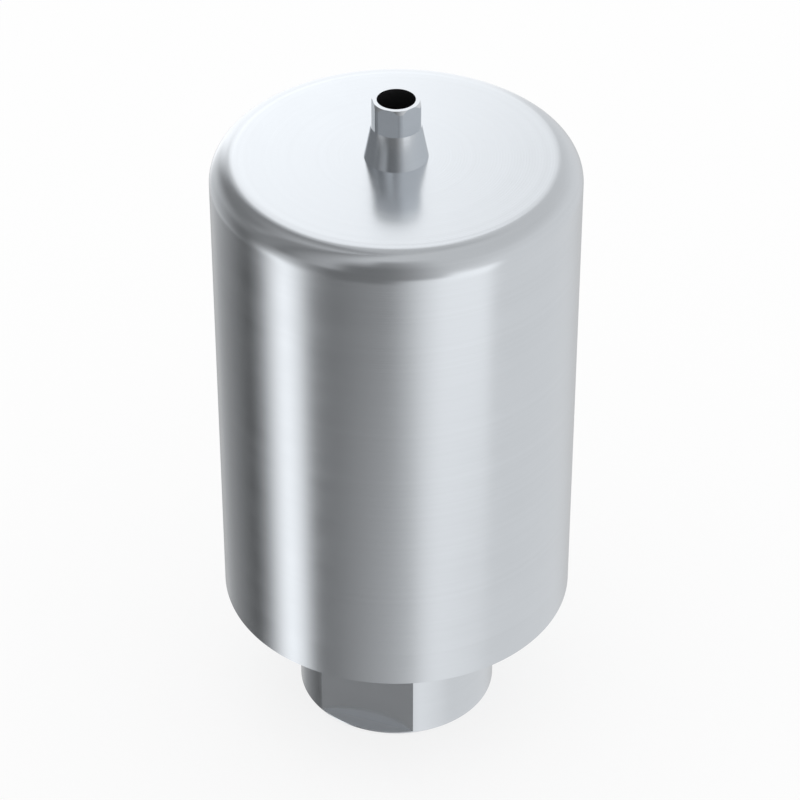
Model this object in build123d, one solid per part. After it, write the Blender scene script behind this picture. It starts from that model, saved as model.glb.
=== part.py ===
from build123d import *
import os
from math import cos, radians, tan

# A pre-milled titanium abutment blank for a dental implant. A milling machine grips the round
# stub at its lower end and cuts the visible abutment out of the large body. The small connection
# on top, which enters the implant, is finished already: a tapered seat with a hexagon on it. A
# stepped channel for the clinical screw runs through the whole piece, which is turned and milled
# from one bar.
#
# Millimetres, +Z up from the stub's end face to the connection. The origin is the centre of the
# stub's end face, and the index flat faces -Y.

# Body
body_diameter = 14.0
body_length = 20.0
shoulder_radius = 1.0
body_edge_break = 0.02

# Clamp stub under the body
stub_diameter = 8.0
stub_length = 5.5
stub_chamfer = 0.15
index_flat_depth = 0.53
index_flat_rim = 0.05

# Connection on the body's top face, from the hexagon down
screw_hole_diameter = 1.45
tip_wall = 0.14
hexagon_corner_trim = 0.05
hexagon_length = 1.10
tip_chamfer_width = 0.07
tip_chamfer_height = 0.15
cone_length = 1.34
cone_half_angle = 11.0

# Screw channel behind the screw hole
seat_width = 0.475
seat_half_angle = 45.0
seat_depth = 1.0
mouth_chamfer = 0.2

# Heights along the axis
stub_top = stub_length
body_top = stub_top + body_length
cone_top = body_top + cone_length
tip = cone_top + hexagon_length

# Radii of the connection. The hexagon's corners are turned down to the cone's small end.
hexagon_across_flats = screw_hole_diameter + 2 * tip_wall
hexagon_corner_radius = hexagon_across_flats / 2 / cos(radians(30)) - hexagon_corner_trim
cone_base_radius = hexagon_corner_radius + cone_length * tan(radians(cone_half_angle))


def turned_outline():
    """The solid bar as it leaves the lathe: stub, body, cone and a round tip, about the axis."""
    body_radius = body_diameter / 2
    stub_radius = stub_diameter / 2
    shoulder_start = (body_radius, body_top - shoulder_radius)
    shoulder_end = (body_radius - shoulder_radius, body_top)
    with BuildPart() as bar:
        with BuildSketch(Plane.XZ):
            with BuildLine():
                lower = Polyline(
                    (0, 0),
                    (stub_radius - stub_chamfer, 0),
                    (stub_radius, stub_chamfer),
                    (stub_radius, stub_top),
                    (body_radius - body_edge_break, stub_top),
                    (body_radius, stub_top + body_edge_break),
                    shoulder_start,
                )
                RadiusArc(shoulder_start, shoulder_end, -shoulder_radius)
                upper = Polyline(
                    shoulder_end,
                    (cone_base_radius, body_top),
                    (hexagon_corner_radius, cone_top),
                    (hexagon_corner_radius, tip - tip_chamfer_height),
                    (hexagon_corner_radius - tip_chamfer_width, tip),
                    (0, tip),
                )
                Line(upper @ 1, lower @ 0)
            make_face()
        revolve(axis=Axis.Z)
    return bar.part


def hexagon_cutter():
    """What the mill takes off the round tip to leave six flats, one of them facing -Y."""
    with BuildPart() as cutter:
        with BuildSketch(Plane.XY.offset(cone_top)):
            Circle(cone_base_radius)
            RegularPolygon(hexagon_across_flats / 2, 6, major_radius=False, rotation=30, mode=Mode.SUBTRACT)
        extrude(amount=hexagon_length)
    return cutter.part


def index_flat_cutter():
    """The flat on the stub. It stops short of the chamfer, so a thin full rim is left below it."""
    foot = stub_chamfer + index_flat_rim
    with BuildPart() as cutter:
        with Locations((0, -stub_diameter / 2 + index_flat_depth, foot)):
            Box(
                stub_diameter,
                stub_diameter,
                stub_top - foot,
                align=(Align.CENTER, Align.MAX, Align.MIN),
            )
    return cutter.part


def screw_channel():
    """The stepped hole along the axis: mouth, wide head channel, tapered seat and screw hole."""
    hole_radius = screw_hole_diameter / 2
    channel_radius = hole_radius + seat_width
    seat_end = body_top - seat_depth
    seat_start = seat_end - seat_width / tan(radians(seat_half_angle))
    with BuildPart() as channel:
        with BuildSketch(Plane.XZ):
            with BuildLine():
                Polyline(
                    (0, 0),
                    (channel_radius + mouth_chamfer, 0),
                    (channel_radius, mouth_chamfer),
                    (channel_radius, seat_start),
                    (hole_radius, seat_end),
                    (hole_radius, tip),
                    (0, tip),
                    close=True,
                )
            make_face()
        revolve(axis=Axis.Z)
    return channel.part


def abutment_blank():
    """The finished piece, with one solid."""
    piece = turned_outline() - hexagon_cutter() - index_flat_cutter() - screw_channel()
    piece.label = "abutment_blank"
    return piece


os.makedirs("parts", exist_ok=True)
blank = abutment_blank()
export_step(blank, "parts/abutment_blank.step")
print(f"volume {blank.volume:.1f} mm3, height {tip:.2f} mm")
print(f"hexagon {hexagon_across_flats:.3f} mm across flats, corners {2 * hexagon_corner_radius:.3f} mm")
print(f"cone base {2 * cone_base_radius:.3f} mm, channel {screw_hole_diameter + 2 * seat_width:.2f} mm")
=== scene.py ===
# %% [markdown]
# # A titanium abutment blank, modelled as it is made
# A dental laboratory mills a patient's own abutment out of this blank. The large round body is the
# metal that gets cut away, the stub below it is what the milling machine grips, and the small cone
# with a hexagon on top is finished already, because it has to fit an implant to a hundredth of a
# millimetre.
# The imported CAD model is loaded first. It is kept, hidden, beside the model made here.

# %% Load the frame
from math import cos, radians, sin, tan

import bpy
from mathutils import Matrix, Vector


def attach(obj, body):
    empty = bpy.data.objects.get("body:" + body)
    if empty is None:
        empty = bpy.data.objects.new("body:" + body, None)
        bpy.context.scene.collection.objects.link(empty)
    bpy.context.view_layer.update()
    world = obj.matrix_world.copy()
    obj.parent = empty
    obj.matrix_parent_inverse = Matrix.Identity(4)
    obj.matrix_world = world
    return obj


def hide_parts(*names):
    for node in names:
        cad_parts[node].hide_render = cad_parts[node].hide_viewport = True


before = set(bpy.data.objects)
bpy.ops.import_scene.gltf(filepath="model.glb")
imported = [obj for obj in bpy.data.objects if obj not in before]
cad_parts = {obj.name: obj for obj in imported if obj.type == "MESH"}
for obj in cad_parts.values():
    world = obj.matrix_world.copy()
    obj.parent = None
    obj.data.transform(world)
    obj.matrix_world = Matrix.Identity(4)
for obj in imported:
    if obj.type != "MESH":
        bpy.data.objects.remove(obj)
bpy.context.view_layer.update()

mm = 0.001

# %% [markdown]
# ## The lathe: an outline that is spun
# The real blank is turned: the bar spins, and a tool follows its outline. The same two steps give
# the cleanest mesh. The outline is drawn once, point by point, as half a section, and Spin carries
# it round the axis. A cylinder with extruded and scaled ends would give the same shape, but each
# diameter would then be a scale factor instead of a size.
# Extrude draws the straight cuts, and Spin on one point draws the round of the shoulder. With no
# window open, Spin turns the other way round its axis than the right-hand rule says.

# %% Helpers that draw an outline
def start_outline(name, point):
    """A new mesh with one point, left in edit mode with that point selected."""
    bpy.ops.object.select_all(action="DESELECT")
    bpy.ops.mesh.primitive_plane_add(size=mm, location=(0, 0, 0))
    outline = bpy.context.active_object
    outline.name = outline.data.name = name
    bpy.ops.object.mode_set(mode="EDIT")
    bpy.ops.mesh.merge(type="CENTER")
    bpy.ops.transform.translate(value=point)
    return outline


def draw_line(start, points):
    """Extrudes the selected point through the points, given as radius and height in mm."""
    for radius, height in points:
        end = Vector((radius * mm, 0, height * mm))
        bpy.ops.mesh.extrude_vertices_move(TRANSFORM_OT_translate={"value": end - start})
        start = end


def count(piece):
    """Prints how many points and faces a mesh has."""
    print(f"{piece.name}: {len(piece.data.vertices)} points, {len(piece.data.polygons)} faces")


# %% [markdown]
# ## Sizes of the blank
# All in millimetres, and heights are above the end of the stub. The screw hole widens inside the
# body to a channel for the screw's head, which comes in from the stub's end.

# %% Sizes
body_radius, body_foot, body_top = 7.0, 5.5, 25.5
shoulder = 1.0
body_edge_break = 0.02
stub_radius, stub_chamfer = 4.0, 0.15
index_flat = stub_radius - 0.53
flat_foot = stub_chamfer + 0.05
cone_top, tip = 26.84, 27.94
cone_slope = radians(11)
hexagon_flat, corner_radius = 0.865, 0.9488
cone_foot_radius = corner_radius + (cone_top - body_top) * tan(cone_slope)
tip_chamfer_width, tip_chamfer_height = 0.07, 0.15
hole_radius, channel_radius, mouth_chamfer = 0.725, 1.2, 0.2
seat_start, seat_end = 24.025, 24.5
print(f"cone foot {2 * cone_foot_radius:.3f} mm across")

# %% [markdown]
# ## Outline and spin
# Next to both ends of the shoulder's round, and above the body's lower edge, the outline gets one
# more point, a tenth of a millimetre away. Smooth shading blends the directions of neighbouring
# faces, and without these points it would blend the round into the whole flat top, which would
# look dished.
# 240 steps round the axis keep the rim a true circle even in a close view.

# %% The outline's points
support = 0.1
up_to_the_shoulder = [
    (stub_radius - stub_chamfer, 0.0),
    (stub_radius, stub_chamfer),
    (stub_radius, body_foot),
    (body_radius - body_edge_break, body_foot),
    (body_radius, body_foot + body_edge_break),
    (body_radius, body_foot + support),
    (body_radius, body_top - shoulder - support),
    (body_radius, body_top - shoulder),
]
over_the_connection = [
    (body_radius - shoulder - support, body_top),
    (cone_foot_radius, body_top),
    (corner_radius, cone_top),
    (corner_radius, tip - tip_chamfer_height),
    (corner_radius - tip_chamfer_width, tip),
    (hole_radius, tip),
    (hole_radius, seat_end),
    (channel_radius, seat_start),
    (channel_radius, mouth_chamfer),
    (channel_radius + mouth_chamfer, 0.0),
]

# %% Draw and spin
steps_round, steps_in_shoulder = 240, 16
same_place = 0.0001 * mm

mouth = Vector(((channel_radius + mouth_chamfer) * mm, 0, 0))
blank = start_outline("abutment_blank_machined", mouth)
draw_line(mouth, up_to_the_shoulder)
shoulder_centre = Vector(((body_radius - shoulder) * mm, 0, (body_top - shoulder) * mm))
bpy.ops.mesh.spin(
    steps=steps_in_shoulder, angle=radians(90), center=shoulder_centre, axis=(0, 1, 0)
)
draw_line(shoulder_centre + Vector((0, 0, shoulder * mm)), over_the_connection)

bpy.ops.mesh.select_all(action="SELECT")
bpy.ops.mesh.spin(steps=steps_round, angle=radians(360), center=(0, 0, 0), axis=(0, 0, 1))
bpy.ops.mesh.select_all(action="SELECT")
bpy.ops.mesh.remove_doubles(threshold=same_place)
bpy.ops.mesh.normals_make_consistent(inside=False)
bpy.ops.object.mode_set(mode="OBJECT")
count(blank)

# %% [markdown]
# ## The mill: an index flat and six more for the hexagon
# The hexagon and the flat on the stub are milled into the turned bar, so here they are cut with
# boxes too. Moving the points of the tip onto six planes would be lighter, but only a real cut
# gives the small arcs where the flats run out into the bevel at the tip.
# One box is made for the hexagon and Spin copies it five times. The hexagon's corners stay round,
# because the bar was turned to a smaller size than its sharp corners would need.

# %% Cutters
def box_cutter(name, centre, size):
    """A box of a size round a centre, both in mm, left in edit mode with all of it selected."""
    bpy.ops.object.select_all(action="DESELECT")
    bpy.ops.mesh.primitive_cube_add(size=mm, location=(0, 0, 0))
    cutter = bpy.context.active_object
    cutter.name = name
    bpy.ops.object.mode_set(mode="EDIT")
    bpy.ops.transform.resize(value=size)
    bpy.ops.transform.translate(value=[c * mm for c in centre])
    return cutter


def cut(piece, cutter):
    """Takes the cutter's volume off the piece and removes the cutter."""
    bpy.ops.object.mode_set(mode="OBJECT")
    bpy.ops.object.select_all(action="DESELECT")
    bpy.context.view_layer.objects.active = piece
    piece.select_set(True)
    modifier = piece.modifiers.new(cutter.name, "BOOLEAN")
    modifier.operation = "DIFFERENCE"
    modifier.solver = "EXACT"
    modifier.object = cutter
    bpy.ops.object.modifier_apply(modifier=modifier.name)
    bpy.data.objects.remove(cutter)
    count(piece)


# %% Index flat on the stub
cutter_width, cutter_depth = 2 * stub_radius, 2.0
cutter = box_cutter(
    "index_flat",
    (0, -index_flat - cutter_depth / 2, (flat_foot + body_foot) / 2),
    (cutter_width, cutter_depth, body_foot - flat_foot),
)
cut(blank, cutter)

# %% Hexagon
cutter_width, cutter_depth = 0.9, 0.4
over_the_tip = tip + 0.4
cutter = box_cutter(
    "hexagon",
    (0, -hexagon_flat - cutter_depth / 2, (cone_top + over_the_tip) / 2),
    (cutter_width, cutter_depth, over_the_tip - cone_top),
)
bpy.ops.mesh.spin(steps=5, angle=radians(300), dupli=True, center=(0, 0, 0), axis=(0, 0, 1))
cut(blank, cutter)

# %% [markdown]
# ## Which tool made which face
# Four cuts leave four finishes: the lathe's, the side of the mill, the end of the mill and the
# drill. Each face can be told by its place and direction alone. A drilled face looks towards the
# axis, above the bevel at the channel's mouth. The side of the mill cuts the flats, at their known
# distances from the axis. Its end leaves a ledge at the foot of each: a coarser one under the
# index flat, and tiny ones round the hexagon, which a finer mill leaves as smooth as its flats.
# The round faces get smooth shading, and every edge sharper than 8 degrees stays an edge. That
# angle lies between the steps of the shoulder, 5.6 degrees, and the bend of 11 degrees where the
# cone meets the hexagon's corners.

# %% Sort the faces by tool
turned, milled, end_milled, drilled = kinds = range(4)
near = 0.001


def tool_for(face):
    """The cut that made a face, from its normal and from the place of its middle."""
    middle, normal = face.center / mm, face.normal
    outward = middle.x * normal.x + middle.y * normal.y
    upright, looks_up = abs(normal.z) < 0.01, normal.z > 0.9
    if outward < -0.1 and middle.z > mouth_chamfer:
        return drilled
    if upright and middle.z > cone_top and abs(outward - hexagon_flat) < near:
        return milled
    if upright and middle.z < body_foot and middle.y < 0 and abs(outward - index_flat) < near:
        return milled
    if looks_up and abs(middle.z - cone_top) < near:
        return milled
    if looks_up and abs(middle.z - flat_foot) < near:
        return end_milled
    return turned


for face in blank.data.polygons:
    face.material_index = tool_for(face)
made_by = [face.material_index for face in blank.data.polygons]
print("turned, milled, end-milled and drilled faces:", [made_by.count(kind) for kind in kinds])

# %% Shading, and a test that the mesh is closed
sharp_edge = radians(8)
bpy.ops.object.select_all(action="DESELECT")
blank.select_set(True)
bpy.context.view_layer.objects.active = blank
bpy.ops.object.shade_smooth_by_angle(angle=sharp_edge)
bpy.ops.object.mode_set(mode="EDIT")
bpy.ops.mesh.select_mode(type="VERT")
bpy.ops.mesh.select_all(action="DESELECT")
bpy.ops.mesh.select_non_manifold()
bpy.ops.object.mode_set(mode="OBJECT")
print("open points:", sum(point.select for point in blank.data.vertices))

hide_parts("abutment_blank")
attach(blank, "root")

# %% [markdown]
# ## Machined titanium
# Bare titanium alloy is a cool, pale grey, and all the rest of its look is in how it blurs what it
# mirrors. Only the drilled wall gets a dark grey instead, as painted shade for the deep hole.
# Under a loupe each tool leaves its own marks. The lathe's tool cuts a fine groove with
# low ridges between its turns, the mill leaves straight strokes, and the drill a rough wall.
# Most of the marks are only tenths of a micrometre high, so they are bump, and small changes of
# roughness and tone, instead of mesh. They need the distance that the tool has travelled. On a
# turned piece that is the height minus the radius, which grows up the wall, over the shoulder and
# on towards the middle of the top. Noise with one dimension, read along that distance, makes each
# turn a little different from the next.

# %% Helpers for nodes
def add_node(tree, kind, inputs=None, **settings):
    """Adds a node with its settings. Its inputs are values, or outputs of other nodes to link."""
    new = tree.nodes.new("ShaderNode" + kind)
    for setting, value in settings.items():
        setattr(new, setting, value)
    for socket, value in (inputs or {}).items():
        if isinstance(value, bpy.types.NodeSocket):
            tree.links.new(value, new.inputs[socket])
        else:
            new.inputs[socket].default_value = value
    return new.outputs[0]


def noise_along(tree, travel, scale, detail):
    """Noise that changes only with the tool's travel."""
    inputs = {"W": travel, "Scale": scale, "Detail": detail}
    return add_node(tree, "TexNoise", inputs, noise_dimensions="1D")


def spread(tree, noise, noise_range, middle, change):
    """Turns noise within a range into values from middle - change to middle + change."""
    inputs = {
        "Value": noise,
        "From Min": noise_range[0],
        "From Max": noise_range[1],
        "To Min": middle - change,
        "To Max": middle + change,
    }
    return add_node(tree, "MapRange", inputs)


# %% Tool marks
def tool_travel(tree, in_mm, along_the_outline):
    """The tool's travel in mm: the height, less the radius where it followed the outline."""
    parts = add_node(tree, "SeparateXYZ", {0: in_mm}).node.outputs
    if not along_the_outline:
        return parts["Z"]
    beside = add_node(tree, "CombineXYZ", {"X": parts["X"], "Y": parts["Y"]})
    radius = add_node(tree, "VectorMath", {0: beside}, operation="LENGTH").node.outputs["Value"]
    return add_node(tree, "Math", {0: parts["Z"], 1: radius}, operation="SUBTRACT")


def grooves(tree, travel, pitch, ridge):
    """Bump of one round groove per pitch, with ridges of uneven height, both sizes in mm."""
    turns = add_node(tree, "Math", {0: travel, 1: pitch}, operation="DIVIDE")
    in_turn = add_node(tree, "Math", {0: turns}, operation="FRACT")
    from_middle = add_node(tree, "Math", {0: in_turn, 1: 0.5}, operation="SUBTRACT")
    groove = add_node(tree, "Math", {0: from_middle, 1: from_middle}, operation="MULTIPLY")
    uneven = noise_along(tree, travel, 2.5, 3.0)
    ridges = add_node(tree, "Math", {0: groove, 1: uneven}, operation="MULTIPLY")
    # The groove's curve ends at a quarter and the noise is a half on average: an eighth together
    full_height = 8 * ridge * mm
    return add_node(tree, "Bump", {"Height": ridges, "Distance": full_height})


# %% Finishes
def machined_titanium(name, tint, roughness, pitch, ridge, along_the_outline):
    """Titanium with tool marks: pitch is their spacing and ridge their height, both in mm."""
    material = bpy.data.materials.new(name)
    material.use_nodes = True
    tree = material.node_tree
    metal = tree.nodes["Principled BSDF"]
    metal.inputs["Metallic"].default_value = 1.0

    place = add_node(tree, "TexCoord").node.outputs["Object"]
    in_mm = add_node(tree, "VectorMath", {0: place, 3: 1 / mm}, operation="SCALE")
    travel = tool_travel(tree, in_mm, along_the_outline)
    tree.links.new(grooves(tree, travel, pitch, ridge), metal.inputs["Normal"])

    clouds = add_node(tree, "TexNoise", {"Vector": in_mm, "Scale": 0.7, "Detail": 4.0})
    bands = noise_along(tree, travel, 0.9, 5.0)
    wear = add_node(tree, "Math", {0: clouds, 1: bands}, operation="ADD")
    gloss = spread(tree, wear, (0.7, 1.3), roughness, 0.02)
    tree.links.new(gloss, metal.inputs["Roughness"])

    lines = noise_along(tree, travel, 5.0, 2.0)
    marks = add_node(tree, "Math", {0: wear, 1: lines}, operation="ADD")
    tone = spread(tree, marks, (1.0, 2.0), 1.0, 0.015)
    colour = add_node(tree, "VectorMath", {0: tint, 3: tone}, operation="SCALE")
    tree.links.new(colour, metal.inputs["Base Color"])
    return material


# The drilled wall's dark grey is painted shade: it stands in for the shade deep in the narrow hole.
titanium, dull_titanium, painted_hole_shade = (0.765, 0.80, 0.84), (0.75, 0.76, 0.775), (0.20, 0.20, 0.21)
finishes = [
    machined_titanium("turned_titanium", titanium, 0.20, 0.11, 0.0002, True),
    machined_titanium("milled_titanium", titanium, 0.22, 0.16, 0.0002, False),
    machined_titanium("end_milled_titanium", dull_titanium, 0.38, 0.16, 0.0002, True),
    machined_titanium("drilled_titanium_painted_shade", painted_hole_shade, 0.45, 0.2, 0.002, False),
]
for finish in finishes:
    blank.data.materials.append(finish)
print("finishes:", [finish.name for finish in finishes])

# %% [markdown]
# ## The table
# A sheet of white paper, wide enough to fill every view. It gets the object's soft shadow from
# real light. For the camera alone a share of its own light is mixed in, which makes the shadow
# pale, as in a product photograph. The metal doesn't mirror the paper, because the panels below
# the horizon take its place there.
# The table also shuts the screw channel from below, and with the drilled wall's painted shade
# that makes the hole look black. For the metal, which doesn't see the paper, a nearly black disc
# just under the stub shuts it instead, as painted shade of the closed channel.

# %% Table
def stage_disc(name, radius, height):
    """A flat disc of the set, at a height, both in metres."""
    bpy.ops.object.select_all(action="DESELECT")
    bpy.ops.mesh.primitive_circle_add(
        vertices=96, radius=radius, fill_type="NGON", location=(0, 0, height)
    )
    disc = bpy.context.active_object
    disc.name = name
    material = bpy.data.materials.new(name)
    material.use_nodes = True
    disc.data.materials.append(material)
    return disc, material.node_tree


table_radius, disc_radius, under_the_paper = 2.0, 3.8 * mm, -0.02 * mm
paper_white, nearly_black = (0.97, 0.97, 0.97, 1), (0.01, 0.01, 0.01, 1)
own_share = 0.75

table, paper = stage_disc("white_paper", table_radius, 0.0)
sheet = paper.nodes["Principled BSDF"]
sheet.inputs["Base Color"].default_value = paper_white
sheet.inputs["Roughness"].default_value = 1.0
sheet.inputs["Specular IOR Level"].default_value = 0.0
own_light = add_node(paper, "Emission", {"Strength": 1.0})
for_camera = add_node(paper, "LightPath").node.outputs["Is Camera Ray"]
share = add_node(paper, "Math", {0: for_camera, 1: own_share}, operation="MULTIPLY")
seen = add_node(paper, "MixShader", {0: share, 1: sheet.outputs[0], 2: own_light})
paper.links.new(seen, paper.nodes["Material Output"].inputs["Surface"])
table.visible_glossy = False

# Nearly black as painted shade: the metal mirrors it where the closed channel is in shade.
disc, shade = stage_disc("shade_under_the_stub", disc_radius, under_the_paper)
shade.nodes["Principled BSDF"].inputs["Base Color"].default_value = nearly_black
print("stage:", table.name, "and", disc.name)

# %% [markdown]
# ## Light
# A shiny piece shows its surroundings, so a product photographer builds it a room of white and
# black cards, and each soft stripe on the metal is one card. Cards of mesh would stand in the
# way of the light and of the camera. Here they are painted on the sky instead, as panels with soft
# edges, and only the metal sees them. Everything else sees a plain white sky.
# One panel is a mask from two smooth steps across and two in height, and inside it the panel's
# brightness takes the place of what was painted before. All angles are in degrees: across, 0 is
# the photo's camera and plus is to its right, and in height 0 is the horizon.

# %% Directions on the sky
camera_azimuth = 20.2

room = bpy.data.worlds.new("studio")
room.use_nodes = True
sky = room.node_tree
direction = add_node(sky, "TexCoord").node.outputs["Generated"]
direction = add_node(
    sky,
    "VectorRotate",
    {"Vector": direction, "Angle": radians(-camera_azimuth)},
    rotation_type="Z_AXIS",
)
parts = add_node(sky, "SeparateXYZ", {0: direction}).node.outputs
ahead = add_node(sky, "Math", {0: parts["Y"], 1: -1.0}, operation="MULTIPLY")
across = add_node(sky, "Math", {0: parts["X"], 1: ahead}, operation="ARCTAN2")
across = add_node(sky, "Math", {0: across}, operation="DEGREES")
rise = add_node(sky, "Math", {0: parts["Z"]}, operation="ARCSINE")
rise = add_node(sky, "Math", {0: rise}, operation="DEGREES")


# %% One panel
def inside_edge(angle, edge, inwards, softness):
    """A smooth step from 0 to 1 across an edge. Inwards is 1 or -1, the way to the panel."""
    inputs = {
        "Value": angle,
        "From Min": edge - inwards * softness,
        "From Max": edge + inwards * softness,
    }
    return add_node(sky, "MapRange", inputs, interpolation_type="SMOOTHSTEP")


def panel(before, sides, heights, softness, tones):
    """Paints a panel over the brightness before it. Its tones are those of its left and right."""
    middle, half = (sides[0] + sides[1]) / 2, (sides[1] - sides[0]) / 2
    aside = add_node(sky, "Math", {0: across, 1: middle}, operation="SUBTRACT")
    aside = add_node(sky, "Math", {0: aside, 1: 180.0, 2: -180.0}, operation="WRAP")
    off = add_node(sky, "Math", {0: aside}, operation="ABSOLUTE")
    mask = 1.0
    for angle, edge, inwards in ((off, half, -1), (rise, heights[0], 1), (rise, heights[1], -1)):
        step = inside_edge(angle, edge, inwards, softness)
        mask = add_node(sky, "Math", {0: step, 1: mask}, operation="MULTIPLY")
    tone_range = {"From Min": -half, "From Max": half, "To Min": tones[0], "To Max": tones[1]}
    tone = add_node(sky, "MapRange", {"Value": aside, **tone_range})
    return add_node(sky, "Mix", {0: mask, 2: before, 3: tone})


# %% [markdown]
# ## The panels of this room
# Each line gives a panel's left and right side, its lower and upper side, the softness of its
# edges, and the brightness at its left and at its right. A later panel covers an earlier one. A
# panel with a side at down or up runs on to the end of the sky, past the softness of its edge.

# %% Panels
down, up = -120, 120
panels = {
    "ceiling": ((130, 215), (60, up), 8, (0.50, 0.50)),
    "right": ((40, 190), (down, 25), 20, (0.70, 0.75)),
    "right_low": ((0, 65), (down, 0), 5, (1.00, 0.70)),
    "right_glow": ((25, 60), (-36, -10), 5, (1.00, 1.10)),
    "front_right": ((-15, 30), (-20, 60), 5, (0.20, 0.60)),
    "front": ((-54, 9), (down, 44), 19, (0.14, 0.20)),
    "front_left_high": ((-75, -34), (5, up), 8, (0.15, 0.50)),
    "front_low": ((-60, 10), (down, -36), 6, (0.10, 0.56)),
    "left_high": ((-117, -75), (-33, 68), 19, (0.40, 0.10)),
    "left_window": ((-82, -66), (down, -16), 17, (1.35, 1.45)),
    "left_dark": ((-145, -94), (down, 7), 13, (0.72, 0.04)),
    "left_top": ((-150, -92), (25, up), 7, (0.20, 0.50)),
    "left_rear_low": ((-152, -102), (down, -31), 4, (0.40, 0.06)),
    "left_rear_high": ((-150, -95), (11, 50), 15, (0.20, 0.20)),
    "rear_low": ((140, 209), (down, -18), 17, (0.65, 0.45)),
    "rear_high": ((170, 198), (37, 56), 3, (1.05, 1.05)),
    "rear_left": ((197, 208), (-26, 22), 11, (1.55, 1.30)),
    "rear_window": ((171, 199), (-25, 30), 4, (1.10, 1.20)),
    "rear_window_top": ((178, 196), (25, 34), 5, (1.50, 1.30)),
}
brightness = 0.6
for name, (sides, heights, softness, tones) in panels.items():
    brightness = panel(brightness, sides, heights, softness, tones)
    brightness.node.label = name

# %% Hang them for the metal alone
plain_sky = 1.0
for_metal = add_node(sky, "LightPath").node.outputs["Is Glossy Ray"]
brightness = add_node(sky, "Mix", {0: for_metal, 2: plain_sky, 3: brightness})
sky.links.new(brightness, sky.nodes["Background"].inputs["Color"])
room.cycles.sampling_method = "NONE"
bpy.context.scene.world = room
print("panels:", len(panels))

# %% [markdown]
# ## The camera
# The photo was taken with a long lens from about 37 degrees above the table, a little to the right
# of the index flat. The distance and the lens were fitted together to the outlines in the photo,
# because the widening of the body towards the camera gives the distance.

# %% Camera
camera_height = 36.63
camera_distance = 125.45 * mm
aim_right, aim_height = 0.139 * mm, 14.165 * mm
turn, lift = radians(camera_azimuth), radians(camera_height)

camera_data = bpy.data.cameras.new("photo_camera")
camera_data.lens = 143.6
camera_data.sensor_width = 36
camera_data.clip_start = 1 * mm
camera = bpy.data.objects.new("photo_camera", camera_data)
bpy.context.scene.collection.objects.link(camera)

back = Vector((sin(turn) * cos(lift), -cos(turn) * cos(lift), sin(lift)))
aim = Vector((cos(turn), sin(turn), 0)) * aim_right + Vector((0, 0, aim_height))
camera.location = aim + back * camera_distance
camera.rotation_mode = "QUATERNION"
camera.rotation_quaternion = back.to_track_quat("Z", "Y")
bpy.context.scene.camera = camera
bpy.context.scene.view_settings.view_transform = "Standard"
print("camera at, in mm:", [round(c / mm, 1) for c in camera.location])
